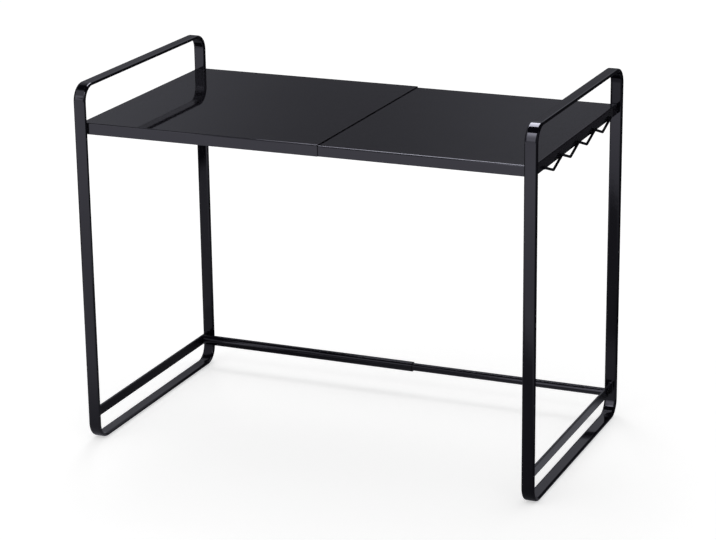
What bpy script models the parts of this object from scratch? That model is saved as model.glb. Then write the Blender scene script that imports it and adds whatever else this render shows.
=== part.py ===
"""Expandable storage rack that stands over a kitchen appliance.

Two side frames of flat steel bar carry a board in two halves. The inner half slides in under
the outer half, and a telescoping crossbar joins the frames near the floor, so the rack can be
pulled out or pushed together. A zigzag wire under the board's right end takes hooks.

Lengths are in metres. +X runs along the width, -Y is the front and +Z is up. The origin is on
the floor, at the middle of the rack as it stands pulled out.
"""
import math

import bmesh
import bpy
from mathutils import Matrix, Vector

# Overall size
rack_width = 0.542
rack_depth = 0.300
rack_height = 0.420

# Side frames, flat bar bent into a closed loop
bar_width = 0.015
bar_thickness = 0.004
bar_edge_radius = 0.0018
frame_corner_radius = 0.020
handle_straight = 0.023

# Side bars, flat bar on edge between the two legs of a frame
side_bar_height = 0.0115
side_bar_thickness = 0.003
side_bar_edge_radius = 0.0006
side_bar_lift = 0.0068

# Boards, folded from sheet
sheet_thickness = 0.0008
apron_height = 0.013
fold_radius = 0.0015
board_end_inset = 0.006
outer_board_length = 0.287
board_overlap = 0.042

# Crossbar
crossbar_setback = 0.019
outer_tube_diameter = 0.012
outer_tube_wall = 0.0009
outer_tube_length = 0.2814
inner_tube_wall = 0.0008
crossbar_overlap = 0.030
insert_length = 0.014
insert_hole_depth = 0.011
glide_collar_length = 0.002
glide_spigot_length = 0.008

# Bolts that hold the crossbar to the side bars
bolt_diameter = 0.004
bolt_head_diameter = 0.0078
bolt_head_height = 0.0022
bolt_length = 0.0125

# Screws that hold the boards to the legs
screw_diameter = 0.003
screw_head_height = 0.0015
leg_skin = 0.001
spacer_margin = 0.0005

# Hook rail, one wire bent into hooks
hook_wire_diameter = 0.003
hook_pitch = 0.057
hook_end_margin = 0.028
hook_drop = 0.0066
hook_lap = 0.0029
hook_bend_radius = 0.003

# Fits
contact_gap = 0.0003
sliding_gap = 0.0003
tube_gap = 0.0004
head_gap = 0.0004
hole_gap = 0.0003
cut_overrun = 0.001

# Smoothness of round shapes
corner_steps = 10
fold_steps = 3
bend_steps = 4
round_steps = 32
small_round_steps = 20
rounding_steps = 2
weld_distance = 0.00001
smooth_angle = math.radians(35)

# Places that the sizes above fix
half_width = rack_width / 2
half_depth = rack_depth / 2
leg_inner_y = half_depth - bar_thickness
board_top = rack_height - frame_corner_radius - handle_straight
apron_bottom = board_top - apron_height
board_end_x = half_width - board_end_inset
inner_board_length = 2 * board_end_x - outer_board_length + board_overlap
inner_board_drop = sheet_thickness + sliding_gap
outer_board_half_depth = leg_inner_y - contact_gap
inner_board_half_depth = outer_board_half_depth - sheet_thickness - sliding_gap
side_bar_x = half_width - bar_width / 2
side_bar_z = frame_corner_radius + side_bar_lift + side_bar_height / 2
crossbar_y = half_depth - crossbar_setback
tube_end_x = side_bar_x - side_bar_thickness / 2 - contact_gap
inner_tube_length = 2 * tube_end_x - outer_tube_length + crossbar_overlap

# The two screw heads on a leg share the height inside the lower board's apron.
apron_space = apron_height - inner_board_drop - sheet_thickness
screw_head_diameter = (apron_space - 3 * head_gap) / 2
screw_pitch = screw_head_diameter + head_gap
screw_mid_z = apron_bottom + apron_space / 2
spacer_width = bar_width - board_end_inset - 2 * spacer_margin
screw_x = half_width - board_end_inset - spacer_margin - spacer_width / 2

# Colours are linear, and each finish is colour, roughness and metallic.
gloss_paint = ((0.012, 0.012, 0.015), 0.18, 0.0)
zinc_plate = ((0.42, 0.43, 0.45), 0.35, 1.0)
black_oxide = ((0.02, 0.02, 0.022), 0.38, 1.0)
black_nylon = ((0.02, 0.02, 0.02), 0.55, 0.0)


def clear_scene():
    """Remove every object that the scene holds."""
    for item in list(bpy.data.objects):
        bpy.data.objects.remove(item, do_unlink=True)


def new_collection(name):
    """Make a collection under the scene."""
    collection = bpy.data.collections.new(name)
    bpy.context.scene.collection.children.link(collection)
    return collection


def make_material(name, finish):
    """A Principled material of one finish."""
    color, roughness, metallic = finish
    material = bpy.data.materials.new(name)
    material.use_nodes = True
    shader = material.node_tree.nodes["Principled BSDF"]
    shader.inputs["Base Color"].default_value = (*color, 1.0)
    shader.inputs["Roughness"].default_value = roughness
    shader.inputs["Metallic"].default_value = metallic
    material.diffuse_color = (*color, 1.0)
    return material


def add_piece(name, data, half, finish, location, rotation=(0.0, 0.0, 0.0)):
    """Add one piece of the rack, parented to the half that carries it."""
    piece = bpy.data.objects.new(name, data)
    rack.objects.link(piece)
    piece.location = location
    piece.rotation_euler = rotation
    piece.parent = half
    piece.matrix_parent_inverse = Matrix.Translation(-half.location)
    data.materials.append(make_material(name + "_finish", finish))
    return piece


def add_half(name, location):
    """An empty that carries one half of the rack, on the line that the halves slide along."""
    half = bpy.data.objects.new(name, None)
    rack.objects.link(half)
    half.location = location
    return half


def add_cutter(name, mesh):
    """A hidden solid that is cut out of a piece."""
    cutter = bpy.data.objects.new(name, mesh)
    cutters.objects.link(cutter)
    cutter.hide_render = True
    cutter.display_type = "WIRE"
    return cutter


def cut(piece, cutter):
    """Cut one solid out of a piece."""
    boolean = piece.modifiers.new(cutter.name, "BOOLEAN")
    boolean.operation = "DIFFERENCE"
    boolean.solver = "EXACT"
    boolean.object = cutter


def weld(mesh):
    """Merge the loose seams of a mesh and turn its faces outwards."""
    shape = bmesh.new()
    shape.from_mesh(mesh)
    bmesh.ops.remove_doubles(shape, verts=shape.verts, dist=weld_distance)
    bmesh.ops.recalc_face_normals(shape, faces=shape.faces)
    shape.to_mesh(mesh)
    shape.free()


def smooth(mesh):
    """Shade a mesh smooth, and keep its real edges sharp."""
    mesh.shade_smooth()
    mesh.set_sharp_from_angle(angle=smooth_angle)


def mesh_from_curve(curve):
    """Turn a curve into a closed mesh that can be cut."""
    guide = bpy.data.objects.new(curve.name, curve)
    rack.objects.link(guide)
    evaluated = guide.evaluated_get(bpy.context.evaluated_depsgraph_get())
    mesh = bpy.data.meshes.new_from_object(evaluated)
    bpy.data.objects.remove(guide, do_unlink=True)
    weld(mesh)
    smooth(mesh)
    return mesh


def settle(piece):
    """Keep the shape that a piece's modifiers give as its own mesh, shaded smooth."""
    finish = piece.data.materials[0]
    evaluated = piece.evaluated_get(bpy.context.evaluated_depsgraph_get())
    mesh = bpy.data.meshes.new_from_object(evaluated)
    weld(mesh)
    smooth(mesh)
    mesh.materials.clear()
    mesh.materials.append(finish)
    piece.modifiers.clear()
    piece.data = mesh


def add_spline(curve, points, closed):
    """Add a run of straight pieces through points to a curve."""
    spline = curve.splines.new("POLY")
    spline.points.add(len(points) - 1)
    for target, point in zip(spline.points, points):
        target.co = (*point, 1.0)
    spline.use_cyclic_u = closed


def rounded_loop(width, height, radius):
    """Points of a rectangle with round corners, centred on the origin, in the XY plane."""
    points = []
    centers = ((1, 1, 0), (-1, 1, 1), (-1, -1, 2), (1, -1, 3))
    for side_x, side_y, quarter in centers:
        center_x = side_x * (width / 2 - radius)
        center_y = side_y * (height / 2 - radius)
        for step in range(corner_steps + 1):
            angle = math.pi / 2 * (quarter + step / corner_steps)
            points.append(Vector((center_x + radius * math.cos(angle),
                                  center_y + radius * math.sin(angle), 0.0)))
    return points


def cylinders_mesh(name, radius, depth, places, axis):
    """Cylinders of one size with their middles at places, all along one axis."""
    turns = {"X": Matrix.Rotation(math.pi / 2, 4, "Y"), "Y": Matrix.Rotation(math.pi / 2, 4, "X")}
    shape = bmesh.new()
    for place in places:
        bmesh.ops.create_cone(shape, cap_ends=True, segments=small_round_steps, radius1=radius,
                              radius2=radius, depth=depth,
                              matrix=Matrix.Translation(place) @ turns[axis])
    mesh = bpy.data.meshes.new(name)
    shape.to_mesh(mesh)
    shape.free()
    return mesh


def box_mesh(name, size):
    """A box of one size, centred on the origin."""
    shape = bmesh.new()
    bmesh.ops.create_cube(shape, size=1.0, matrix=Matrix.Diagonal((*size, 1.0)))
    mesh = bpy.data.meshes.new(name)
    shape.to_mesh(mesh)
    shape.free()
    return mesh


def turned_piece(name, profile, closed, half, finish, location, rotation, steps):
    """Turn a profile of (radius, height) points about its own Z axis."""
    edges = [(index, index + 1) for index in range(len(profile) - 1)]
    if closed:
        edges.append((len(profile) - 1, 0))
    mesh = bpy.data.meshes.new(name)
    mesh.from_pydata([(radius, 0.0, height) for radius, height in profile], edges, [])
    piece = add_piece(name, mesh, half, finish, location, rotation)
    screw = piece.modifiers.new("turn", "SCREW")
    screw.axis = "Z"
    screw.angle = 2 * math.pi
    screw.steps = steps
    screw.render_steps = steps
    screw.use_merge_vertices = True
    screw.merge_threshold = weld_distance
    settle(piece)
    return piece


def screw_heights():
    """Heights of the two screws on a leg."""
    return (screw_mid_z - screw_pitch / 2, screw_mid_z + screw_pitch / 2)


def side_frame(name, side, half):
    """One side frame: a closed loop of flat bar with blind screw holes in both legs."""
    curve = bpy.data.curves.new(name, "CURVE")
    curve.dimensions = "2D"
    curve.fill_mode = "BOTH"
    curve.extrude = bar_width / 2 - bar_edge_radius
    curve.bevel_depth = bar_edge_radius
    curve.bevel_resolution = rounding_steps
    curve.offset = -bar_edge_radius
    outside = rounded_loop(rack_depth, rack_height, frame_corner_radius)
    inside = rounded_loop(rack_depth - 2 * bar_thickness, rack_height - 2 * bar_thickness,
                          frame_corner_radius - bar_thickness)
    add_spline(curve, outside, True)
    add_spline(curve, list(reversed(inside)), True)
    frame = add_piece(name, mesh_from_curve(curve), half, gloss_paint,
                      (side * side_bar_x, 0.0, rack_height / 2), (math.pi / 2, 0.0, math.pi / 2))
    hole_depth = bar_thickness - leg_skin + cut_overrun
    hole_y = half_depth - leg_skin - hole_depth / 2
    places = [Vector((side * screw_x, end * hole_y, height))
              for end in (-1, 1) for height in screw_heights()]
    holes = cylinders_mesh(name + "_holes", screw_diameter / 2 + hole_gap, hole_depth, places, "Y")
    cut(frame, add_cutter(name + "_holes", holes))
    return frame


def side_bar(name, side, half):
    """The flat bar that ties the legs of a frame together, with the crossbar's bolt hole."""
    length = 2 * (leg_inner_y - contact_gap)
    mesh = box_mesh(name, (side_bar_thickness, length, side_bar_height))
    bar = add_piece(name, mesh, half, gloss_paint, (side * side_bar_x, 0.0, side_bar_z))
    rounding = bar.modifiers.new("rounding", "BEVEL")
    rounding.width = side_bar_edge_radius
    rounding.segments = rounding_steps
    place = Vector((side * side_bar_x, crossbar_y, side_bar_z))
    hole = cylinders_mesh(name + "_hole", bolt_diameter / 2 + hole_gap,
                          side_bar_thickness + 2 * cut_overrun, [place], "X")
    cut(bar, add_cutter(name + "_hole", hole))
    return bar


def board(name, side, length, half_board_depth, top, half):
    """A folded board: a top with aprons on three sides, open below and at the inner end."""
    height = top - apron_bottom
    shape = bmesh.new()
    bmesh.ops.create_cube(shape, size=1.0,
                          matrix=Matrix.Diagonal((length, 2 * half_board_depth, height, 1.0)))
    open_faces = [face for face in shape.faces
                  if face.normal.z < -0.5 or face.normal.x * side < -0.5]
    bmesh.ops.delete(shape, geom=open_faces, context="FACES_ONLY")
    mesh = bpy.data.meshes.new(name)
    shape.to_mesh(mesh)
    shape.free()
    center_x = side * (board_end_x - length / 2)
    piece = add_piece(name, mesh, half, gloss_paint, (center_x, 0.0, top - height / 2))
    fold = piece.modifiers.new("fold", "BEVEL")
    fold.width = fold_radius
    fold.segments = fold_steps
    fold.limit_method = "ANGLE"
    sheet = piece.modifiers.new("sheet", "SOLIDIFY")
    sheet.thickness = sheet_thickness
    sheet.offset = -1.0
    sheet.use_even_offset = True
    places = [Vector((side * screw_x, 0.0, height)) for height in screw_heights()]
    holes = cylinders_mesh(name + "_holes", screw_diameter / 2 + hole_gap,
                           2 * (half_board_depth + cut_overrun), places, "Y")
    cut(piece, add_cutter(name + "_holes", holes))
    return piece


def tube(name, side, diameter, wall, length, half):
    """One tube of the crossbar, with its outer end against a side bar."""
    outer = diameter / 2
    inner = outer - wall
    profile = ((outer, length / 2), (outer, -length / 2), (inner, -length / 2), (inner, length / 2))
    center_x = side * (tube_end_x - length / 2)
    return turned_piece(name, profile, True, half, gloss_paint, (center_x, crossbar_y, side_bar_z),
                        (0.0, math.pi / 2, 0.0), round_steps)


def tube_insert(name, side, bore, half):
    """The threaded plug in the outer end of a tube, which the bolt screws into."""
    outer = bore / 2 - contact_gap
    hole = bolt_diameter / 2 + hole_gap
    profile = ((0.0, -insert_hole_depth), (hole, -insert_hole_depth), (hole, 0.0), (outer, 0.0),
               (outer, -insert_length), (0.0, -insert_length))
    return turned_piece(name, profile, False, half, zinc_plate,
                        (side * tube_end_x, crossbar_y, side_bar_z),
                        (0.0, side * math.pi / 2, 0.0), small_round_steps)


def fastener(name, diameter, head_diameter, head_height, length, half, finish, place, rotation):
    """A screw with a low domed head, its seat at place and its shank down its own Z axis."""
    head = head_diameter / 2
    shank = diameter / 2
    flat = head - head_height / 2
    profile = ((0.0, head_height), (flat, head_height), (head, head_height / 2), (head, 0.0),
               (shank, 0.0), (shank, -length), (0.0, -length))
    return turned_piece(name, profile, False, half, finish, place, rotation, small_round_steps)


def crossbar_bolt(name, side, half):
    """The bolt from outside the side bar into the crossbar."""
    place = (side * (side_bar_x + side_bar_thickness / 2 + contact_gap), crossbar_y, side_bar_z)
    return fastener(name, bolt_diameter, bolt_head_diameter, bolt_head_height, bolt_length, half,
                    black_oxide, place, (0.0, side * math.pi / 2, 0.0))


def board_screws(side, half_board_depth, half, prefix):
    """Two screws on each leg, from inside the apron into the leg's blind holes."""
    seat_y = half_board_depth - sheet_thickness - contact_gap
    tip_y = half_depth - leg_skin - contact_gap
    for end, end_name in ((-1, "front"), (1, "rear")):
        for height, height_name in zip(screw_heights(), ("lower", "upper")):
            fastener(f"{prefix}_{end_name}_screw_{height_name}", screw_diameter,
                     screw_head_diameter, screw_head_height, tip_y - seat_y, half, black_oxide,
                     (side * screw_x, end * seat_y, height), (end * math.pi / 2, 0.0, 0.0))


def spacer(name, end, half):
    """The plate that fills the gap between the inner board's apron and a right leg."""
    height = board_top - inner_board_drop - apron_bottom - 2 * spacer_margin
    mesh = box_mesh(name, (spacer_width, sheet_thickness, height))
    place_y = end * (outer_board_half_depth - sheet_thickness / 2)
    place_z = apron_bottom + spacer_margin + height / 2
    plate = add_piece(name, mesh, half, zinc_plate, (screw_x, place_y, place_z))
    places = [Vector((screw_x, place_y, level)) for level in screw_heights()]
    holes = cylinders_mesh(name + "_holes", screw_diameter / 2 + hole_gap,
                           sheet_thickness + 2 * cut_overrun, places, "Y")
    cut(plate, add_cutter(name + "_holes", holes))
    return plate


def tube_glide(name, bore, tube_inner_bore, half):
    """The nylon plug in the hidden end of the inner tube, which runs in the outer tube."""
    collar = bore / 2 - contact_gap
    spigot = tube_inner_bore / 2 - contact_gap
    profile = ((0.0, 0.0), (collar, 0.0), (collar, -glide_collar_length),
               (spigot, -glide_collar_length), (spigot, -glide_collar_length - glide_spigot_length),
               (0.0, -glide_collar_length - glide_spigot_length))
    end_x = tube_end_x - inner_tube_length - contact_gap - glide_collar_length
    return turned_piece(name, profile, False, half, black_nylon, (end_x, crossbar_y, side_bar_z),
                        (0.0, -math.pi / 2, 0.0), small_round_steps)


def bend_points(before, corner, after):
    """Points of the arc that rounds one corner of a wire."""
    back = (before - corner).normalized()
    ahead = (after - corner).normalized()
    half_angle = back.angle(ahead) / 2
    middle = (back + ahead).normalized()
    center = corner + middle * (hook_bend_radius / math.sin(half_angle))
    reach = hook_bend_radius / math.tan(half_angle)
    start = corner + back * reach - center
    turn = (corner + ahead * reach - center).rotation_difference(start).inverted()
    points = []
    for step in range(bend_steps + 1):
        partial = turn.copy()
        partial.angle = turn.angle * step / bend_steps
        points.append(center + partial @ start)
    return points


def hook_rail(name, half):
    """One wire in a zigzag: each low bend is a hook, each high bend is welded to the apron."""
    room = 2 * (leg_inner_y - hook_end_margin)
    count = max(1, int(room / hook_pitch))
    first_y = -count * hook_pitch / 2
    corners = []
    for index in range(2 * count + 1):
        level = -hook_drop if index % 2 else hook_lap
        corners.append(Vector((0.0, first_y + index * hook_pitch / 2, level)))
    points = [corners[0]]
    for before, corner, after in zip(corners, corners[1:], corners[2:]):
        points.extend(bend_points(before, corner, after))
    points.append(corners[-1])
    wire = bpy.data.curves.new(name, "CURVE")
    wire.dimensions = "3D"
    wire.bevel_depth = hook_wire_diameter / 2
    wire.bevel_resolution = rounding_steps
    wire.use_fill_caps = True
    add_spline(wire, points, False)
    plane_x = board_end_x + contact_gap + hook_wire_diameter / 2
    return add_piece(name, wire, half, gloss_paint, (plane_x, 0.0, apron_bottom))


def build_left_half():
    """The half that stays: its board is on top and its tube is the outer one."""
    half = add_half("left_half", (-half_width, 0.0, board_top))
    side_frame("left_side_frame", -1, half)
    side_bar("left_side_bar", -1, half)
    board("outer_board", -1, outer_board_length, outer_board_half_depth, board_top, half)
    board_screws(-1, outer_board_half_depth, half, "left")
    tube("crossbar_outer_tube", -1, outer_tube_diameter, outer_tube_wall, outer_tube_length, half)
    bore = outer_tube_diameter - 2 * outer_tube_wall
    tube_insert("outer_tube_insert", -1, bore, half)
    crossbar_bolt("crossbar_bolt_left", -1, half)


def build_right_half():
    """The half that slides along the width."""
    half = add_half("right_half_slide", (half_width, 0.0, board_top))
    side_frame("right_side_frame", 1, half)
    side_bar("right_side_bar", 1, half)
    board("inner_board", 1, inner_board_length, inner_board_half_depth,
          board_top - inner_board_drop, half)
    board_screws(1, inner_board_half_depth, half, "right")
    spacer("front_leg_spacer", -1, half)
    spacer("rear_leg_spacer", 1, half)
    outer_bore = outer_tube_diameter - 2 * outer_tube_wall
    inner_diameter = outer_bore - 2 * tube_gap
    inner_bore = inner_diameter - 2 * inner_tube_wall
    tube("crossbar_inner_tube", 1, inner_diameter, inner_tube_wall, inner_tube_length, half)
    tube_insert("inner_tube_insert", 1, inner_bore, half)
    tube_glide("inner_tube_glide", outer_bore, inner_bore, half)
    crossbar_bolt("crossbar_bolt_right", 1, half)
    hook_rail("hook_rail", half)


clear_scene()
rack = new_collection("expandable_storage_rack")
cutters = new_collection("cutters")
build_left_half()
build_right_half()
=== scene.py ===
import math

import bmesh
import bpy
from mathutils import Matrix, Vector


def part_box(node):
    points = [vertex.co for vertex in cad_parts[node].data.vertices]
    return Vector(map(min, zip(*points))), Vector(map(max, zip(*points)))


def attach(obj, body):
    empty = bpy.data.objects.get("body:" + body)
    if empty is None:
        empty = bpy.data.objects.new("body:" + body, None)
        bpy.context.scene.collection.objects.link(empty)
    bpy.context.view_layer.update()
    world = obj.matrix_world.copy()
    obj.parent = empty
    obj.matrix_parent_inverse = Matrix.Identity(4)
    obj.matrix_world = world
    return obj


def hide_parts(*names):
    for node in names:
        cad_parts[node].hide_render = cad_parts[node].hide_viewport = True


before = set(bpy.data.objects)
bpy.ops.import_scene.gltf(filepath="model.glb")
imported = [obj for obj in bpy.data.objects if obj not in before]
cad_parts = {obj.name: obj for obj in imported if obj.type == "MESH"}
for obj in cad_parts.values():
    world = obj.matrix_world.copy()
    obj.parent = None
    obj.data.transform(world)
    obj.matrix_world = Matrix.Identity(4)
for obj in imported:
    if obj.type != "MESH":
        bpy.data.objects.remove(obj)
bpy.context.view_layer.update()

# The photograph's frame and the camera that it was taken with
image_width = 716
focal_pixels = 2404.06
sensor_width = 36.0
camera_place = Vector((1.0390, -2.4084, 1.0220))
camera_yaw = 0.40548
camera_pitch = 0.30658
camera_roll = -0.01296
camera_near = 0.05
camera_far = 100.0

# Flat bar of the side frames
bar_thickness = 0.004
bar_edge_reach = 0.0028
bar_edge_depth = 0.0019
frame_corner_radius = 0.020
frame_corner_steps = 28
edge_steps = 8

# Side bars and their welds
side_bar_edge_radius = 0.0006
weld_radius = 0.0013
weld_reach = 0.00025
weld_steps = 6

# Boards
sheet_thickness = 0.0008
fold_radius = 0.0015
fold_steps = 7
rim_radius = 0.00016
rim_steps = 2
rim_angle = 60.0

# Holes: those in the legs are blind, and the cutters of the others go right through
screw_hole_diameter = 0.0036
bolt_hole_diameter = 0.0046
blind_hole_depth = 0.005
blind_hole_clearance = 0.0003
bar_cutter_length = 0.012
sheet_cutter_length = 0.0032
hole_sides = 32

# Tubes
outer_tube_wall = 0.0009
inner_tube_wall = 0.0008
tube_lip_radius = 0.00025
tube_lip_steps = 4
turn_steps = 72

# Hook rail
hook_pitch = 0.057
hook_bend_radius = 0.003
hook_height = 0.0095
hook_bend_steps = 9
wire_sides = 20

# Weld spots of the hook rail: depth as a share of the way from wire to apron, the rest as
# shares of the wire's diameter
spot_depth = 0.82
spot_set_back = 0.17
spot_width = 1.25
spot_height = 0.62
spot_set_down = 0.45
spot_segments = 24
spot_rings = 14

# Screws and bolts
screw_diameter = 0.003
screw_head_height = 0.0015
screw_socket = 0.002
bolt_diameter = 0.004
bolt_head_height = 0.0022
bolt_socket = 0.0025
thread_pitch = 0.0005
thread_depth = 0.00028
thread_overlap = 0.0002
shank_sides = 24

# The start of a thread tapers by a share of its diameter, less with each ring
lead_in_depth = 0.10
lead_in_rate = 0.34

# Heads are domes cut flat near the top; the key that cuts the socket goes by the head's height
head_steps = 11
head_sides = 40
dome_cut = 0.93
dome_power = 4.0
key_height = 1.4
key_middle = 1.05

# Shading of the finished meshes, with angles in degrees
sharp_angle = 32.0
screw_sharp_angle = 28.0
flat_face_weight = 80

# Texture of the gloss paint: noise cells to the metre, levels and shares from 0 to 1
ripple_scale = 210.0
fine_ripple_scale = 640.0
fine_ripple_share = 0.35
ripple_distance = 0.00012
grain_scale = 1500.0
dust_scale = 900.0
dust_level = 0.79
dust_patch_scale = 35.0
dust_patch_level = 0.55
dust_share = 0.5
dust_color = (0.030, 0.029, 0.028, 1.0)
clean_roughness = 0.045
smudge_roughness = 0.050
grain_roughness = 0.012
dust_roughness = 0.15
paint_ior = 1.5
paint_tint = (0.96, 0.94, 1.0, 1.0)
deep_black = (0.0017, 0.0015, 0.0030, 1.0)
soft_black = (0.0030, 0.0027, 0.0048, 1.0)

# Texture of the steel: blotches and lines share out the colour and the gloss between them
blotch_scale = 260.0
blotch_in_color = 0.7
blotch_in_gloss = 0.4
steel_line_height = 0.00002
steel_relief = 0.25

# Texture of the nylon
nylon_grain_scale = 2600.0
nylon_grain_height = 0.00003
nylon_relief = 0.4
nylon_cloud_scale = 180.0
nylon_dark = (0.012, 0.012, 0.012, 1.0)
nylon_pale = (0.022, 0.022, 0.021, 1.0)
nylon_roughness = 0.48
nylon_grain_roughness = 0.12

# Studio, with brightness as shares of white
wall_distance = 7.0
wall_steps = 48
wall_levels = 12
wall_brightest = 5.0
dim_wall = 0.16
upper_back_wall = 0.34
window_bar_shade = 1.6
least_reflection = 0.02
floor_half_width = 30.0
floor_drop = 0.0003
floor_card_drop = 0.0001
floor_brightest = 1.5
floor_grey = (0.80, 0.80, 0.80, 1.0)
floor_glow = 0.50
dark_floor = 0.03
far_left_shade = 0.8
floor_slant = 1.2
slant_shade = 0.63
left_behind_light = 0.37
air_light = 0.62
card_color = (0.94, 0.95, 1.07, 1.0)
rear_card_edges = {"left": -0.20, "right": 0.26, "front": 0.152, "back": 0.60}
rear_card_height = 0.37
rear_card_thickness = 0.001
lamp_height = 2.26
white = (1.0, 1.0, 1.0, 1.0)
black = (0.0, 0.0, 0.0, 1.0)

left_half = "left_half"
right_half = "right_half"
halves = (("left", left_half), ("right", right_half))


class Value:
    """A socket that takes part in sums, so that a formula adds its own Math nodes."""

    def __init__(self, graph, socket):
        self.graph = graph
        self.socket = socket

    def maths(self, operation, first, second=0.0):
        """Add a Math node."""
        return self.graph.node("ShaderNodeMath", {"operation": operation}, {0: first, 1: second})

    def __add__(self, other):
        return self.maths("ADD", self, other)

    def __radd__(self, other):
        return self.maths("ADD", other, self)

    def __sub__(self, other):
        return self.maths("SUBTRACT", self, other)

    def __rsub__(self, other):
        return self.maths("SUBTRACT", other, self)

    def __mul__(self, other):
        return self.maths("MULTIPLY", self, other)

    def __rmul__(self, other):
        return self.maths("MULTIPLY", other, self)

    def __truediv__(self, other):
        return self.maths("DIVIDE", self, other)

    def __rtruediv__(self, other):
        return self.maths("DIVIDE", other, self)

    def __pow__(self, other):
        return self.maths("POWER", self, other)

    def __mod__(self, other):
        return self.maths("MODULO", self, other)

    def __gt__(self, other):
        return self.maths("GREATER_THAN", self, other)

    def root(self):
        return self.maths("SQRT", self)

    def at_least(self, other):
        return self.maths("MAXIMUM", self, other)

    def at_most(self, other):
        return self.maths("MINIMUM", self, other)

    def rise(self, start, end):
        """0 up to start, 1 from end on, and a soft step between them."""
        return self.graph.node("ShaderNodeMapRange", {"interpolation_type": "SMOOTHSTEP"},
                               {"Value": self, "From Min": start, "From Max": end})

    def between(self, start, full, fading, end):
        """1 from full to fading, 0 up to start and from end on."""
        return self.rise(start, full) * (1.0 - self.rise(fading, end))

    def toward(self, other, share):
        """This value where share is 0, the other where it is 1."""
        return self + (other - self) * share


class Graph:
    """The nodes of one finish or one shape."""

    def __init__(self, tree):
        self.tree = tree
        tree.nodes.clear()

    def node(self, kind, settings=None, inputs=None, output=0):
        """Add a node: its settings first, then a value or a link for each input."""
        made = self.tree.nodes.new(kind)
        for name, setting in (settings or {}).items():
            setattr(made, name, setting)
        for name, value in (inputs or {}).items():
            if isinstance(value, Value):
                self.tree.links.new(value.socket, made.inputs[name])
            elif isinstance(value, list):
                for one in value:
                    self.tree.links.new(one.socket, made.inputs[name])
            else:
                made.inputs[name].default_value = value
        return Value(self, made.outputs[output])

    def mix(self, factor, first, second):
        """Blend two colours by a factor, through a Mix node's colour sockets: 6, 7 and 2."""
        return self.node("ShaderNodeMix", {"data_type": "RGBA"}, {0: factor, 6: first, 7: second}, 2)


# Finishes

def new_finish(name):
    """A material with an empty graph and its object's own coordinates."""
    material = bpy.data.materials.new(name)
    material.use_nodes = True
    graph = Graph(material.node_tree)
    place = graph.node("ShaderNodeTexCoord", output="Object")
    return material, graph, place


def noise(graph, place, scale, detail=2.0, roughness=0.5, distortion=0.0):
    """Soft noise from 0 to 1."""
    return graph.node("ShaderNodeTexNoise", {"noise_dimensions": "3D"},
                      {"Vector": place, "Scale": scale, "Detail": detail, "Roughness": roughness,
                       "Distortion": distortion}, "Fac")


def stretched(graph, place, scale):
    """The place with each axis scaled by itself."""
    return graph.node("ShaderNodeMapping", {"vector_type": "POINT"},
                      {"Vector": place, "Scale": scale})


def close_finish(material, graph, shader):
    """Send a shader to the material's output."""
    made = graph.tree.nodes.new("ShaderNodeOutputMaterial")
    graph.tree.links.new(shader.socket, made.inputs["Surface"])
    return material


def gloss_paint(name, darkest, palest, ripple, smudge_scale, haze):
    """Deep black gloss paint: a faint ripple, soft smudges and the odd grain of dust."""
    material, graph, place = new_finish(name)
    fine_ripple = noise(graph, place, fine_ripple_scale, detail=1.0)
    ripples = noise(graph, place, ripple_scale, detail=1.0) + fine_ripple * fine_ripple_share
    smudge = noise(graph, place, smudge_scale, detail=4.0, roughness=0.6, distortion=0.4)
    grain = noise(graph, place, grain_scale, detail=2.0, roughness=0.7)
    specks = noise(graph, place, dust_scale, detail=0.0) > dust_level
    dust = specks * (noise(graph, place, dust_patch_scale, detail=1.0) > dust_patch_level)
    tone = graph.mix(smudge, darkest, palest)
    color = graph.mix(dust * dust_share, tone, dust_color)
    rough = (clean_roughness + smudge * smudge_roughness + grain * grain_roughness) * haze
    relief = graph.node("ShaderNodeBump", {}, {"Strength": ripple, "Distance": ripple_distance,
                                               "Height": ripples})
    shader = graph.node("ShaderNodeBsdfPrincipled", {},
                        {"Base Color": color, "Roughness": rough + dust * dust_roughness,
                         "IOR": paint_ior, "Specular Tint": paint_tint, "Normal": relief})
    return close_finish(material, graph, shader)


def steel(name, dark, light, rough_low, rough_high, line_scale):
    """Bare or plated steel with fine lines, blotches and a little spread in its gloss."""
    material, graph, place = new_finish(name)
    lines = noise(graph, stretched(graph, place, line_scale), 1.0, detail=3.0, roughness=0.6)
    blotch = noise(graph, place, blotch_scale, detail=3.0, roughness=0.55, distortion=0.5)
    spread = blotch * blotch_in_color + lines * (1.0 - blotch_in_color)
    wear = blotch * blotch_in_gloss + lines * (1.0 - blotch_in_gloss)
    color = graph.mix(spread, dark, light)
    rough = rough_low + wear * (rough_high - rough_low)
    relief = graph.node("ShaderNodeBump", {}, {"Strength": steel_relief,
                                               "Distance": steel_line_height, "Height": lines})
    shader = graph.node("ShaderNodeBsdfPrincipled", {},
                        {"Base Color": color, "Metallic": 1.0, "Roughness": rough,
                         "Normal": relief})
    return close_finish(material, graph, shader)


def moulded_nylon(name):
    """Matt black nylon with the fine grain of its mould."""
    material, graph, place = new_finish(name)
    grain = noise(graph, place, nylon_grain_scale, detail=2.0, roughness=0.6)
    cloud = noise(graph, place, nylon_cloud_scale, detail=3.0)
    color = graph.mix(cloud, nylon_dark, nylon_pale)
    rough = nylon_roughness + grain * nylon_grain_roughness
    relief = graph.node("ShaderNodeBump", {}, {"Strength": nylon_relief,
                                               "Distance": nylon_grain_height, "Height": grain})
    shader = graph.node("ShaderNodeBsdfPrincipled", {},
                        {"Base Color": color, "Roughness": rough, "Normal": relief})
    return close_finish(material, graph, shader)


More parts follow.
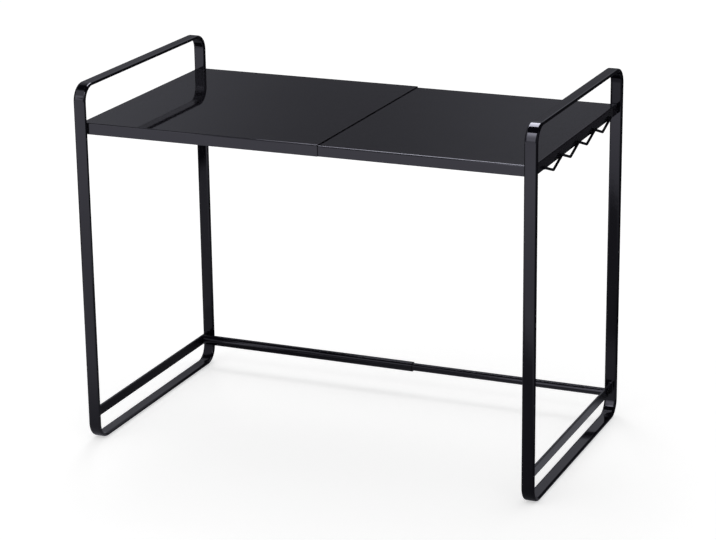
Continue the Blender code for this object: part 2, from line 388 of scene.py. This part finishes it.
board_paint = gloss_paint("board_gloss_black", darkest=(0.0070, 0.0065, 0.0090, 1.0),
                          palest=(0.0100, 0.0095, 0.0125, 1.0), ripple=0.08,
                          smudge_scale=14.0, haze=0.4)
bar_paint = gloss_paint("bar_gloss_black", deep_black, soft_black, ripple=0.14,
                        smudge_scale=40.0, haze=1.0)
wire_paint = gloss_paint("wire_gloss_black", deep_black, soft_black, ripple=0.18,
                         smudge_scale=120.0, haze=1.0)
oxide_steel = steel("black_oxide_steel", dark=(0.016, 0.016, 0.018, 1.0),
                    light=(0.036, 0.035, 0.036, 1.0), rough_low=0.28, rough_high=0.48,
                    line_scale=(300.0, 300.0, 300.0))
zinc_steel = steel("bright_zinc_steel", dark=(0.40, 0.41, 0.43, 1.0),
                   light=(0.52, 0.53, 0.54, 1.0), rough_low=0.22, rough_high=0.42,
                   line_scale=(250.0, 900.0, 900.0))
nylon = moulded_nylon("black_nylon")


# Shapes

def new_piece(name, mesh):
    """An object at the origin, in the scene's own collection."""
    piece = bpy.data.objects.new(name, mesh)
    bpy.context.scene.collection.objects.link(piece)
    return piece


def piece_from_bmesh(name, shape):
    """Turn a bmesh into a piece with its faces outwards."""
    bmesh.ops.recalc_face_normals(shape, faces=shape.faces)
    mesh = bpy.data.meshes.new(name)
    shape.to_mesh(mesh)
    shape.free()
    return new_piece(name, mesh)


def keep_shape(piece):
    """Make what a piece's modifiers give its own plain mesh."""
    depsgraph = bpy.context.evaluated_depsgraph_get()
    mesh = bpy.data.meshes.new_from_object(piece.evaluated_get(depsgraph))
    piece.modifiers.clear()
    piece.data = mesh
    return mesh


def settle(piece, finish, angle=sharp_angle):
    """Shade flat faces flat and bends smooth, and give the plain mesh its finish."""
    mesh = keep_shape(piece)
    mesh.shade_smooth()
    mesh.set_sharp_from_angle(angle=math.radians(angle))
    weighted = piece.modifiers.new("flat faces first", "WEIGHTED_NORMAL")
    weighted.weight = flat_face_weight
    weighted.keep_sharp = True
    mesh = keep_shape(piece)
    mesh.materials.clear()
    mesh.materials.append(finish)


def dress(piece, body, nodes):
    """Put a finished piece on its body, in place of the CAD nodes that it stands for."""
    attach(piece, body)
    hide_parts(*nodes)


def rounded_section(width, height, reach, depth):
    """Points of a rectangle, counter-clockwise, with corners rounded by reach and by depth."""
    points = []
    for quarter, (side_x, side_y) in enumerate(((1, 1), (-1, 1), (-1, -1), (1, -1))):
        for step in range(edge_steps + 1):
            angle = math.pi / 2 * (quarter + step / edge_steps)
            points.append((side_x * (width / 2 - reach) + reach * math.cos(angle),
                           side_y * (height / 2 - depth) + depth * math.sin(angle)))
    return points


def skin(shape, rings, closed_path):
    """Join rings of points into a skin; an open run gets an end face at each end."""
    rows = [[shape.verts.new(point) for point in ring] for ring in rings]
    count = len(rows[0])
    pairs = list(zip(rows, rows[1:]))
    if closed_path:
        pairs.append((rows[-1], rows[0]))
    for first, second in pairs:
        for index in range(count):
            after = (index + 1) % count
            shape.faces.new((first[index], first[after], second[after], second[index]))
    if not closed_path:
        shape.faces.new(rows[0])
        shape.faces.new(list(reversed(rows[-1])))


def cut_holes(piece, centers, diameter, depth, axis):
    """Cut round holes along X or Y with their middles at centers."""
    turns = {"X": Matrix.Rotation(math.pi / 2, 4, "Y"), "Y": Matrix.Rotation(math.pi / 2, 4, "X")}
    shape = bmesh.new()
    for center in centers:
        bmesh.ops.create_cone(shape, cap_ends=True, segments=hole_sides, radius1=diameter / 2,
                              radius2=diameter / 2, depth=depth,
                              matrix=Matrix.Translation(center) @ turns[axis])
    cutter = piece_from_bmesh(piece.name + "_holes", shape)
    boolean = piece.modifiers.new("holes", "BOOLEAN")
    boolean.operation = "DIFFERENCE"
    boolean.solver = "EXACT"
    boolean.object = cutter
    keep_shape(piece)
    bpy.data.objects.remove(cutter, do_unlink=True)


def screw_places(prefix):
    """Boxes of the four board screws of one half, with the way that each head faces."""
    places = []
    for end, facing in (("front", 1.0), ("rear", -1.0)):
        for height in ("lower", "upper"):
            low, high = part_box(f"{prefix}_{end}_screw_{height}")
            places.append((low, high, Vector((0.0, facing, 0.0))))
    return places


def side_frame(name, body):
    """A closed loop of flat bar with soft edges and evenly bent corners."""
    low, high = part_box(name)
    width = high.x - low.x
    center = (low + high) / 2
    reach_y = (high.y - low.y) / 2 - frame_corner_radius
    reach_z = (high.z - low.z) / 2 - frame_corner_radius
    section = rounded_section(width, bar_thickness, bar_edge_reach, bar_edge_depth)
    rings = []
    for quarter, (side_y, side_z) in enumerate(((1, 1), (-1, 1), (-1, -1), (1, -1))):
        for step in range(frame_corner_steps + 1):
            angle = math.pi / 2 * (quarter + step / frame_corner_steps)
            outward = Vector((0.0, math.cos(angle), math.sin(angle)))
            bend = center + Vector((0.0, side_y * reach_y, side_z * reach_z))
            middle = bend + outward * (frame_corner_radius - bar_thickness / 2)
            rings.append([middle + Vector((across, 0.0, 0.0)) + outward * through
                          for across, through in section])
    shape = bmesh.new()
    skin(shape, rings, True)
    piece = piece_from_bmesh(name + "_bar", shape)
    prefix = name.split("_")[0]
    centers = []
    for screw_low, screw_high, facing in screw_places(prefix):
        tip_y = screw_low.y if facing.y > 0 else screw_high.y
        hole_y = tip_y + facing.y * (blind_hole_depth / 2 - blind_hole_clearance)
        middle = (screw_low + screw_high) / 2
        centers.append(Vector((middle.x, hole_y, middle.z)))
    cut_holes(piece, centers, screw_hole_diameter, blind_hole_depth, "Y")
    settle(piece, bar_paint)
    dress(piece, body, [name])


def side_bar(name, body):
    """Flat bar on edge whose ends run out into the welds on the legs."""
    low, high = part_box(name)
    center = (low + high) / 2
    thickness = high.x - low.x
    height = high.z - low.z
    end_y = high.y + weld_reach
    stations = []
    for step in range(weld_steps + 1):
        angle = math.pi / 2 * step / weld_steps
        stations.append((end_y - weld_radius + weld_radius * math.sin(angle),
                         weld_radius - weld_radius * math.cos(angle)))
    stations = [(-y, grow) for y, grow in reversed(stations)] + stations
    rings = []
    for y, grow in stations:
        radius = side_bar_edge_radius + grow
        section = rounded_section(thickness + 2 * grow, height + 2 * grow, radius, radius)
        rings.append([Vector((center.x + across, center.y + y, center.z + up))
                      for across, up in section])
    shape = bmesh.new()
    skin(shape, rings, False)
    piece = piece_from_bmesh(name + "_welded", shape)
    bolt_low, bolt_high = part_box("crossbar_bolt_" + name.split("_")[0])
    bolt_middle = (bolt_low + bolt_high) / 2
    cut_holes(piece, [Vector((center.x, bolt_middle.y, bolt_middle.z))], bolt_hole_diameter,
              bar_cutter_length, "X")
    settle(piece, bar_paint)
    dress(piece, body, [name])


def board(name, side, body):
    """A folded sheet: a top with aprons on three sides, open below and at the inner end."""
    low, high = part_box(name)
    size = high - low
    shape = bmesh.new()
    bmesh.ops.create_cube(shape, size=1.0, matrix=Matrix.Translation((low + high) / 2)
                          @ Matrix.Diagonal((*size, 1.0)))
    open_faces = [face for face in shape.faces
                  if face.normal.z < -0.5 or face.normal.x * side < -0.5]
    bmesh.ops.delete(shape, geom=open_faces, context="FACES_ONLY")
    # The open sheet keeps the way that the cube's faces point, which the thickness goes by
    mesh = bpy.data.meshes.new(name + "_sheet")
    shape.to_mesh(mesh)
    shape.free()
    piece = new_piece(name + "_sheet", mesh)
    fold = piece.modifiers.new("fold", "BEVEL")
    fold.width = fold_radius
    fold.segments = fold_steps
    fold.limit_method = "ANGLE"
    sheet = piece.modifiers.new("sheet", "SOLIDIFY")
    sheet.thickness = sheet_thickness
    sheet.offset = -1.0
    sheet.use_even_offset = True
    rim = piece.modifiers.new("rim", "BEVEL")
    rim.width = rim_radius
    rim.segments = rim_steps
    rim.limit_method = "ANGLE"
    rim.angle_limit = math.radians(rim_angle)
    prefix = "left" if side < 0 else "right"
    centers = []
    for screw_low, screw_high, facing in screw_places(prefix):
        middle = (screw_low + screw_high) / 2
        apron_y = low.y if facing.y > 0 else high.y
        centers.append(Vector((middle.x, apron_y, middle.z)))
    cut_holes(piece, centers, screw_hole_diameter, sheet_cutter_length, "Y")
    settle(piece, board_paint)
    dress(piece, body, [name])


def tube(name, wall, body):
    """A tube with its sawn ends softened."""
    low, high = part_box(name)
    center = (low + high) / 2
    outer = (high.z - low.z) / 2
    inner = outer - wall
    half_length = (high.x - low.x) / 2
    lip = tube_lip_radius
    profile = []
    for side in (1, -1):
        corner = []
        for step in range(tube_lip_steps + 1):
            angle = math.pi / 2 * step / tube_lip_steps
            corner.append((inner + lip - lip * math.cos(angle),
                           side * (half_length - lip + lip * math.sin(angle))))
        for step in range(tube_lip_steps + 1):
            angle = math.pi / 2 * (1 - step / tube_lip_steps)
            corner.append((outer - lip + lip * math.cos(angle),
                           side * (half_length - lip + lip * math.sin(angle))))
        profile.extend(corner if side > 0 else reversed(corner))
    shape = bmesh.new()
    rings = []
    for step in range(turn_steps):
        angle = 2 * math.pi * step / turn_steps
        rings.append([center + Vector((along, radius * math.cos(angle), radius * math.sin(angle)))
                      for radius, along in profile])
    skin(shape, rings, True)
    piece = piece_from_bmesh(name + "_turned", shape)
    settle(piece, bar_paint)
    dress(piece, body, [name])


# Shape trees

def new_tree(name, sizes):
    """A geometry tree with an input for each size, a material input and a geometry output."""
    tree = bpy.data.node_groups.new(name, "GeometryNodeTree")
    tree.interface.new_socket("Geometry", in_out="INPUT", socket_type="NodeSocketGeometry")
    for label in sizes:
        tree.interface.new_socket(label, in_out="INPUT", socket_type="NodeSocketFloat")
    tree.interface.new_socket("Finish", in_out="INPUT", socket_type="NodeSocketMaterial")
    tree.interface.new_socket("Geometry", in_out="OUTPUT", socket_type="NodeSocketGeometry")
    graph = Graph(tree)
    entry = tree.nodes.new("NodeGroupInput")
    given = {socket.name: Value(graph, socket) for socket in entry.outputs if socket.name}
    return tree, graph, given


def close_tree(graph, geometry, finish):
    """End a shape tree: real meshes with their finish."""
    real = graph.node("GeometryNodeRealizeInstances", {}, {"Geometry": geometry})
    painted = graph.node("GeometryNodeSetMaterial", {}, {"Geometry": real, "Material": finish})
    leave = graph.tree.nodes.new("NodeGroupOutput")
    graph.tree.links.new(painted.socket, leave.inputs["Geometry"])


def grown(name, tree, values, start_mesh=None):
    """Run a shape tree once and keep its result as a plain mesh."""
    piece = new_piece(name, start_mesh or bpy.data.meshes.new(name))
    growth = piece.modifiers.new("growth", "NODES")
    growth.node_group = tree
    for item in tree.interface.items_tree:
        if item.item_type == "SOCKET" and item.in_out == "INPUT" and item.name in values:
            growth[item.identifier] = values[item.name]
    keep_shape(piece)
    return piece


def vector(graph, x, y, z):
    """Three numbers or sockets as one vector."""
    return graph.node("ShaderNodeCombineXYZ", {}, {"X": x, "Y": y, "Z": z})


def zigzag_tree():
    """A wire that zigzags along Y: every other corner is a hook, the rest lap on the apron."""
    tree, graph, given = new_tree("zigzag_wire", (
        "Pitch", "Hooks", "Drop", "Lap", "Wire diameter", "Bend radius", "Plane", "Apron bottom",
        "Apron face"))
    half_pitch = given["Pitch"] / 2.0
    corner = graph.node("GeometryNodeInputIndex")
    low = corner % 2.0
    y = (corner - given["Hooks"]) * half_pitch
    z = given["Apron bottom"] + given["Lap"] - low * (given["Lap"] + given["Drop"])
    line = graph.node("GeometryNodeMeshLine", {"mode": "OFFSET"},
                      {"Count": given["Hooks"] * 2.0 + 1.0})
    placed = graph.node("GeometryNodeSetPosition", {},
                        {"Geometry": line, "Position": vector(graph, given["Plane"], y, z)})
    run = graph.node("GeometryNodeMeshToCurve", {}, {"Mesh": placed})
    bent = graph.node("GeometryNodeFilletCurve", {"mode": "POLY"},
                      {"Curve": run, "Count": hook_bend_steps, "Radius": given["Bend radius"],
                       "Limit Radius": True})
    outline = graph.node("GeometryNodeCurvePrimitiveCircle", {"mode": "RADIUS"},
                         {"Resolution": wire_sides, "Radius": given["Wire diameter"] / 2.0})
    wire = graph.node("GeometryNodeCurveToMesh", {},
                      {"Curve": bent, "Profile Curve": outline, "Fill Caps": True})
    smooth_wire = graph.node("GeometryNodeSetShadeSmooth", {}, {"Geometry": wire})
    upper = graph.node("FunctionNodeBooleanMath", {"operation": "NOT"}, {0: low})
    reach = given["Plane"] - given["Apron face"]
    spots = graph.node("GeometryNodeMeshToPoints", {"mode": "VERTICES"},
                       {"Mesh": placed, "Selection": upper})
    nugget = graph.node("GeometryNodeMeshUVSphere", {},
                        {"Segments": spot_segments, "Rings": spot_rings, "Radius": 1.0})
    spot_scale = vector(graph, reach * spot_depth, given["Wire diameter"] * spot_width,
                        given["Wire diameter"] * spot_height)
    welds = graph.node("GeometryNodeInstanceOnPoints", {},
                       {"Points": spots, "Instance": nugget, "Scale": spot_scale})
    shift = vector(graph, reach * -spot_set_back, 0.0, given["Wire diameter"] * -spot_set_down)
    lowered = graph.node("GeometryNodeTranslateInstances", {},
                         {"Instances": welds, "Translation": shift})
    smooth_welds = graph.node("GeometryNodeSetShadeSmooth", {}, {"Geometry": lowered})
    joined = graph.node("GeometryNodeJoinGeometry", {},
                        {"Geometry": [smooth_wire, smooth_welds]})
    close_tree(graph, joined, given["Finish"])
    return tree


def cap_screw_tree():
    """Domed screws with a hexagon socket and a thread, one at each point of the start mesh."""
    tree, graph, given = new_tree("cap_screws", (
        "Head diameter", "Head height", "Thread diameter", "Length", "Socket width",
        "Thread pitch", "Thread depth"))
    index = graph.node("GeometryNodeInputIndex")
    layer = vector(graph, 0.0, 0.0, given["Head height"] / float(head_steps))
    head_line = graph.node("GeometryNodeMeshLine", {"mode": "OFFSET"},
                           {"Count": head_steps + 1, "Offset": layer})
    head_curve = graph.node("GeometryNodeMeshToCurve", {}, {"Mesh": head_line})
    rise = index / float(head_steps)
    dome = (1.0 - (rise * dome_cut) ** dome_power).root() * given["Head diameter"] * 0.5
    circle = graph.node("GeometryNodeCurvePrimitiveCircle", {"mode": "RADIUS"},
                        {"Resolution": head_sides, "Radius": 1.0})
    head = graph.node("GeometryNodeCurveToMesh", {},
                      {"Curve": head_curve, "Profile Curve": circle, "Scale": dome,
                       "Fill Caps": True})
    turns = graph.node("ShaderNodeMath", {"operation": "ROUND"},
                       {0: given["Length"] / given["Thread pitch"] * 2.0})
    step = (given["Length"] + thread_overlap) / turns
    thread_line = graph.node("GeometryNodeMeshLine", {"mode": "OFFSET"},
                             {"Count": turns + 1.0,
                              "Start Location": vector(graph, 0.0, 0.0, given["Length"] * -1.0),
                              "Offset": vector(graph, 0.0, 0.0, step)})
    thread_curve = graph.node("GeometryNodeMeshToCurve", {}, {"Mesh": thread_line})
    lead_in = (1.0 - (index * lead_in_rate).at_most(1.0)) * given["Thread diameter"]
    groove = (index % 2.0) * given["Thread depth"]
    ridge = given["Thread diameter"] * 0.5 - groove - lead_in * lead_in_depth
    small_circle = graph.node("GeometryNodeCurvePrimitiveCircle", {"mode": "RADIUS"},
                              {"Resolution": shank_sides, "Radius": 1.0})
    shank = graph.node("GeometryNodeCurveToMesh", {},
                       {"Curve": thread_curve, "Profile Curve": small_circle, "Scale": ridge,
                        "Fill Caps": True})
    solid = graph.node("GeometryNodeMeshBoolean", {"operation": "UNION", "solver": "EXACT"},
                       {"Mesh 2": [head, shank]})
    key = graph.node("GeometryNodeMeshCylinder", {"fill_type": "NGON"},
                     {"Vertices": 6, "Radius": given["Socket width"] / math.sqrt(3.0),
                      "Depth": given["Head height"] * key_height})
    lift = vector(graph, 0.0, 0.0, given["Head height"] * key_middle)
    raised = graph.node("GeometryNodeTransform", {}, {"Geometry": key, "Translation": lift})
    screw = graph.node("GeometryNodeMeshBoolean", {"operation": "DIFFERENCE", "solver": "EXACT"},
                       {"Mesh 1": solid, "Mesh 2": [raised]})
    facing = graph.node("GeometryNodeInputNamedAttribute", {"data_type": "FLOAT_VECTOR"},
                        {"Name": "facing"})
    turned = graph.node("FunctionNodeAlignRotationToVector", {"axis": "Z"}, {"Vector": facing})
    points = graph.node("GeometryNodeMeshToPoints", {"mode": "VERTICES"},
                        {"Mesh": given["Geometry"]})
    driven = graph.node("GeometryNodeInstanceOnPoints", {},
                        {"Points": points, "Instance": screw, "Rotation": turned})
    close_tree(graph, driven, given["Finish"])
    return tree


def hook_rail(name, tree, body):
    """The hook rail, one zigzag wire welded under the end of the inner board."""
    low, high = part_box(name)
    board_low, board_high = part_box("inner_board")
    diameter = high.x - low.x
    hooks = round((high.y - low.y) / hook_pitch)
    # A rounded bend stops short of its corner, so the corners are set further out
    half_angle = math.atan2(hook_pitch / 2, hook_height)
    cut_back = hook_bend_radius / math.sin(half_angle) - hook_bend_radius
    drop = board_low.z - (low.z + diameter / 2) + cut_back
    lap = hook_height - drop
    piece = grown(name + "_wire", tree, {
        "Pitch": hook_pitch, "Hooks": float(hooks), "Drop": drop, "Lap": lap,
        "Wire diameter": diameter, "Bend radius": hook_bend_radius,
        "Plane": (low.x + high.x) / 2, "Apron bottom": board_low.z, "Apron face": board_high.x,
        "Finish": wire_paint})
    dress(piece, body, [name])


def screws(name, tree, body, nodes, diameter, head_height, socket, facing_of):
    """A set of screws of one size on one body."""
    seats = []
    for node in nodes:
        low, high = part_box(node)
        facing = facing_of(node)
        length = abs(facing.dot(high - low))
        seats.append(((low + high) / 2 + facing * (length / 2 - head_height), facing))
    mesh = bpy.data.meshes.new(name)
    mesh.from_pydata([place for place, facing in seats], [], [])
    attribute = mesh.attributes.new("facing", "FLOAT_VECTOR", "POINT")
    for index, (place, facing) in enumerate(seats):
        attribute.data[index].vector = facing
    piece = grown(name, tree, {
        "Head diameter": high.z - low.z, "Head height": head_height, "Thread diameter": diameter,
        "Length": length - head_height, "Socket width": socket, "Thread pitch": thread_pitch,
        "Thread depth": thread_depth, "Finish": oxide_steel}, mesh)
    settle(piece, oxide_steel, screw_sharp_angle)
    dress(piece, body, nodes)


def board_screw_facing(node):
    """The heads of the board screws are inside the aprons and face inwards."""
    return Vector((0.0, 1.0 if "front" in node else -1.0, 0.0))


def bolt_facing(node):
    """The heads of the crossbar's bolts are outside the side bars and face outwards."""
    return Vector((-1.0 if "left" in node else 1.0, 0.0, 0.0))


for side_name, body in halves:
    side_frame(side_name + "_side_frame", body)
    side_bar(side_name + "_side_bar", body)
board("outer_board", -1, left_half)
board("inner_board", 1, right_half)
tube("crossbar_outer_tube", outer_tube_wall, left_half)
tube("crossbar_inner_tube", inner_tube_wall, right_half)
hook_rail("hook_rail", zigzag_tree(), right_half)
cap_screws = cap_screw_tree()
for side_name, body in halves:
    names = [f"{side_name}_{end}_screw_{height}"
             for end in ("front", "rear") for height in ("lower", "upper")]
    screws(side_name + "_board_screws", cap_screws, body, names, screw_diameter,
           screw_head_height, screw_socket, board_screw_facing)
    screws("crossbar_bolt_" + side_name + "_cap", cap_screws, body, ["crossbar_bolt_" + side_name],
           bolt_diameter, bolt_head_height, bolt_socket, bolt_facing)

for node, finish in (("outer_tube_insert", zinc_steel), ("inner_tube_insert", zinc_steel),
                     ("front_leg_spacer", zinc_steel), ("rear_leg_spacer", zinc_steel),
                     ("inner_tube_glide", nylon)):
    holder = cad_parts[node]
    holder.data.materials.clear()
    holder.data.materials.append(finish)


# Studio

def background_ray(graph):
    """1 where a ray comes from the camera, a reflection or a clear material, else 0."""
    path = graph.tree.nodes.new("ShaderNodeLightPath")
    seen = Value(graph, path.outputs["Is Camera Ray"])
    glossy = Value(graph, path.outputs["Is Glossy Ray"])
    through = Value(graph, path.outputs["Is Transmission Ray"])
    return seen.at_least(glossy).at_least(through)


def pale_world():
    """A plain sky: white to look at, and softer as a light."""
    world = bpy.data.worlds.new("studio_air")
    bpy.context.scene.world = world
    world.use_nodes = True
    graph = Graph(world.node_tree)
    light = graph.node("ShaderNodeBackground", {}, {"Color": white, "Strength": air_light})
    backdrop = graph.node("ShaderNodeBackground", {}, {"Color": white, "Strength": 1.0})
    air = graph.node("ShaderNodeMixShader", {}, {0: background_ray(graph), 1: light, 2: backdrop})
    leave = graph.tree.nodes.new("ShaderNodeOutputWorld")
    graph.tree.links.new(air.socket, leave.inputs["Surface"])


def pale_floor():
    """A plain white floor that keeps the rack's soft shadow."""
    shape = bmesh.new()
    bmesh.ops.create_grid(shape, x_segments=1, y_segments=1, size=floor_half_width,
                          matrix=Matrix.Translation((0.0, 0.0, -floor_drop)))
    floor = piece_from_bmesh("studio_floor", shape)
    material = bpy.data.materials.new("floor_white")
    material.use_nodes = True
    graph = Graph(material.node_tree)
    matt = graph.node("ShaderNodeBsdfDiffuse", {}, {"Color": floor_grey})
    glow = graph.node("ShaderNodeEmission", {}, {"Color": white, "Strength": floor_glow})
    pale = graph.node("ShaderNodeAddShader", {}, {0: matt, 1: glow})
    ground = graph.node("ShaderNodeMixShader", {}, {0: background_ray(graph), 1: matt, 2: pale})
    close_finish(material, graph, ground)
    floor.data.materials.append(material)


def card(name, points, brightest, tone=None, faces=None):
    """A glowing card that lights nothing and that only reflections see, as a studio sets one
    beside glossy paint: what it shows in the paint is painted reflection, highlight or dark
    patch. With no tone it is as bright all over as at its brightest."""
    mesh = bpy.data.meshes.new(name)
    mesh.from_pydata(points, [], faces or [tuple(range(len(points)))])
    piece = new_piece(name, mesh)
    material, graph, place = new_finish(name + "_tone")
    color = card_color
    if tone:
        split = graph.node("ShaderNodeSeparateXYZ", {}, {"Vector": place}).socket.node
        level = tone(*[Value(graph, output) for output in split.outputs]) / brightest
        color = graph.mix(level, black, color)
    glow = graph.node("ShaderNodeEmission", {}, {"Color": color, "Strength": brightest})
    close_finish(material, graph, glow)
    mesh.materials.append(material)
    piece.visible_camera = False
    piece.visible_diffuse = False
    piece.visible_shadow = False
    piece.visible_transmission = False
    piece.visible_volume_scatter = False


def level_card(name, left, right, front, back, height, brightest):
    """A plain oblong card that lies level."""
    card(name, [(left, front, height), (right, front, height), (right, back, height),
                (left, back, height)], brightest)


def profile(coordinate, *stops):
    """A level that eases from stop to stop; each stop is a place in metres and its level."""
    place, level = stops[0]
    total = level
    for next_place, next_level in stops[1:]:
        if next_level != level:
            total = total + coordinate.rise(place, next_place) * (next_level - level)
        place, level = next_place, next_level
    return total


# The tones below say how bright the studio is where a reflection meets it: places in metres,
# levels as shares of white

def wall_tone(x, y, z):
    """Dim walls with a paler band above those behind, a dark ceiling, and at the left front
    two tall windows under a pale band, which the bends of the frames look at."""
    lower_back = profile(x, (-3.8, 0.18), (-2.7, 0.08), (-2.6, 0.08), (-1.8, 0.13))
    back = lower_back.toward(upper_back_wall, z.rise(2.20, 2.45))
    back = back * profile(x, (-0.6, 1.0), (0.2, 0.0))
    left_window = x.between(-4.15, -3.95, -3.15, -3.0)
    right_window = x.between(-2.2, -2.05, -1.5, -1.35)
    window_bar = x.between(-3.52, -3.44, -3.22, -3.10) * z.between(1.4, 1.6, 2.3, 2.5)
    panes = profile(z, (0.6, 1.05), (1.6, 2.0)) - window_bar * window_bar_shade
    lower_front = panes.toward(dim_wall, 1.0 - (left_window + right_window))
    pale_band = dim_wall + x.between(-4.6, -4.1, -1.5, -1.0) * (1.0 - dim_wall)
    front = lower_front.toward(pale_band, z.rise(3.3, 3.7))
    walls = front.toward(back, y.rise(-1.5, 0.0))
    return walls * profile(z, (5.4, 1.0), (5.9, 0.0)) + least_reflection


def floor_and_shadow_tone(x, y, z):
    """A pale floor in front that darkens towards the rack, and a dark one at the right and
    behind. The darkening towards the rack and under it is painted shadow of the rack."""
    far_left = (1.0 - x.rise(-0.95, -0.70)) * y.rise(-0.85, -0.60)
    # Painted shade: the floor in front darkens as it nears the rack
    left = profile(y, (-1.5, 1.1), (-0.45, 0.72), (-0.15, 0.32))
    left = left * (1.0 - far_left * far_left_shade)
    past_slant = (y - x * floor_slant).rise(-0.82, -0.70)
    right = profile(y, (-1.5, 1.25), (-0.8, 0.80)) - past_slant * slant_shade
    right = right * profile(x, (0.12, 1.0), (0.50, 0.1))
    front = left.toward(right, x.rise(-0.28, -0.08))
    # Painted shadow of the boards on the floor under the rack, seen only in reflections
    under = profile(x, (-0.262, 0.28), (-0.25, 0.08), (-0.20, 0.08), (0.20, 0.35))
    left_behind = (1.0 - x.rise(-0.60, -0.40)) * (1.0 - y.rise(1.7, 2.0))
    behind = dark_floor + left_behind * left_behind_light
    tone = front.toward(under, y.rise(-0.16, -0.04)).toward(behind, y.rise(0.15, 0.20))
    far_right = x.rise(0.30, 0.34) * y.rise(-0.30, -0.15)
    return tone.toward(dark_floor, far_right)


def window_tone(x, y, z):
    """A window in front of the rack, brightest at its top: a painted glint source that lights
    nothing.
    """
    return profile(z, (0.9, 2.0), (2.2, 6.0))


def side_tone(x, y, z):
    """A card beside the left frame, dark above and grey below."""
    return profile(z, (0.185, 0.38), (0.210, 0.02))


def studio_walls():
    """Studio walls and ceiling, far off on all sides, and the floor's tone with a painted
    shadow of the rack, all as cards that light nothing and only paint reflections.
    """
    rows = []
    for level in range(wall_levels + 1):
        rise = math.pi / 2 * level / wall_levels
        reach = wall_distance * math.cos(rise)
        turns = [2 * math.pi * step / wall_steps for step in range(wall_steps)]
        rows.append([(reach * math.cos(turn), reach * math.sin(turn),
                      wall_distance * math.sin(rise)) for turn in turns])
    points = [point for row in rows for point in row]
    faces = []
    for level in range(wall_levels):
        lower = level * wall_steps
        upper = lower + wall_steps
        for step in range(wall_steps):
            after = (step + 1) % wall_steps
            faces.append((lower + step, lower + after, upper + after, upper + step))
    # Painted reflections of a studio: the walls glow up to five times white but light nothing
    card("studio_walls", points, wall_brightest, wall_tone, faces)
    # The floor card shows the floor's tone with a painted shadow of the rack, in reflections only
    card("floor_card", [(x, y, -floor_card_drop) for x, y, _ in rows[0]], floor_brightest,
         floor_and_shadow_tone)


def softbox(name, place, target, width, height, power):
    """A large soft lamp aimed at a point."""
    data = bpy.data.lights.new(name, "AREA")
    data.shape = "RECTANGLE"
    data.size = width
    data.size_y = height
    data.energy = power
    lamp = bpy.data.objects.new(name, data)
    bpy.context.scene.collection.objects.link(lamp)
    lamp.location = place
    lamp.rotation_euler = (Vector(target) - Vector(place)).to_track_quat("-Z", "Y").to_euler()
    lamp.visible_glossy = False


def studio():
    """World, floor, lamps and cards."""
    pale_world()
    pale_floor()
    studio_walls()
    # The side card puts a painted reflection, dark above and grey below, into the left frame
    card("side_card", [(-0.36, -0.14, 0.0), (-0.36, 0.10, 0.0), (-0.36, 0.10, 0.29),
                       (-0.36, -0.14, 0.29)], brightest=0.5, tone=side_tone)
    # The window card lights nothing and only paints glints. The window leans to the left at its top,
    # and so does its painted glint in the front right bend
    card("window_card", [(-0.25, -1.5, 0.9), (0.05, -1.5, 0.9), (0.05, -1.5, 2.4),
                         (-0.62, -1.5, 2.4), (-0.43, -1.5, 1.74)], brightest=7.0,
         tone=window_tone)
    # The rear card is grey from below, where the tubes mirror it, and dark from above. It also keeps
    # the overhead card out of the rear bottom bend's reflection, a painted shade standing in for the
    # board's
    level_card("rear_card", **rear_card_edges, height=rear_card_height, brightest=0.6)
    level_card("rear_card_top", **rear_card_edges, brightest=0.05,
               height=rear_card_height + rear_card_thickness)
    # The overhead card glows where the overhead softbox hangs, which reflections don't see: it
    # lights nothing and paints the softbox's highlight into the bends, brighter than the lamp itself
    level_card("overhead_card", left=-0.95, right=-0.30, front=0.20, back=1.90,
               height=lamp_height, brightest=10.0)
    softbox("overhead_softbox", place=(-0.62, 1.145, lamp_height), target=(0.2, 0.0, 0.35),
            width=0.55, height=0.80, power=6.0)
    softbox("front_softbox", place=(-1.6, -2.8, 3.4), target=(0.0, 0.0, 0.2),
            width=2.0, height=1.2, power=12.0)


def photo_camera():
    """The camera that took the photograph."""
    data = bpy.data.cameras.new("photo_camera")
    data.sensor_fit = "HORIZONTAL"
    data.sensor_width = sensor_width
    data.lens = focal_pixels / image_width * sensor_width
    data.clip_start = camera_near
    data.clip_end = camera_far
    camera = bpy.data.objects.new("photo_camera", data)
    bpy.context.scene.collection.objects.link(camera)
    forward = Vector((-math.sin(camera_yaw) * math.cos(camera_pitch),
                      math.cos(camera_yaw) * math.cos(camera_pitch), -math.sin(camera_pitch)))
    level = Vector((math.cos(camera_yaw), math.sin(camera_yaw), 0.0))
    upright = level.cross(forward)
    right = math.cos(camera_roll) * level + math.sin(camera_roll) * upright
    up = -math.sin(camera_roll) * level + math.cos(camera_roll) * upright
    turn = Matrix((right, up, -forward)).transposed()
    camera.matrix_world = Matrix.Translation(camera_place) @ turn.to_4x4()
    bpy.context.scene.camera = camera


studio()
photo_camera()
bpy.context.scene.view_settings.view_transform = "Standard"
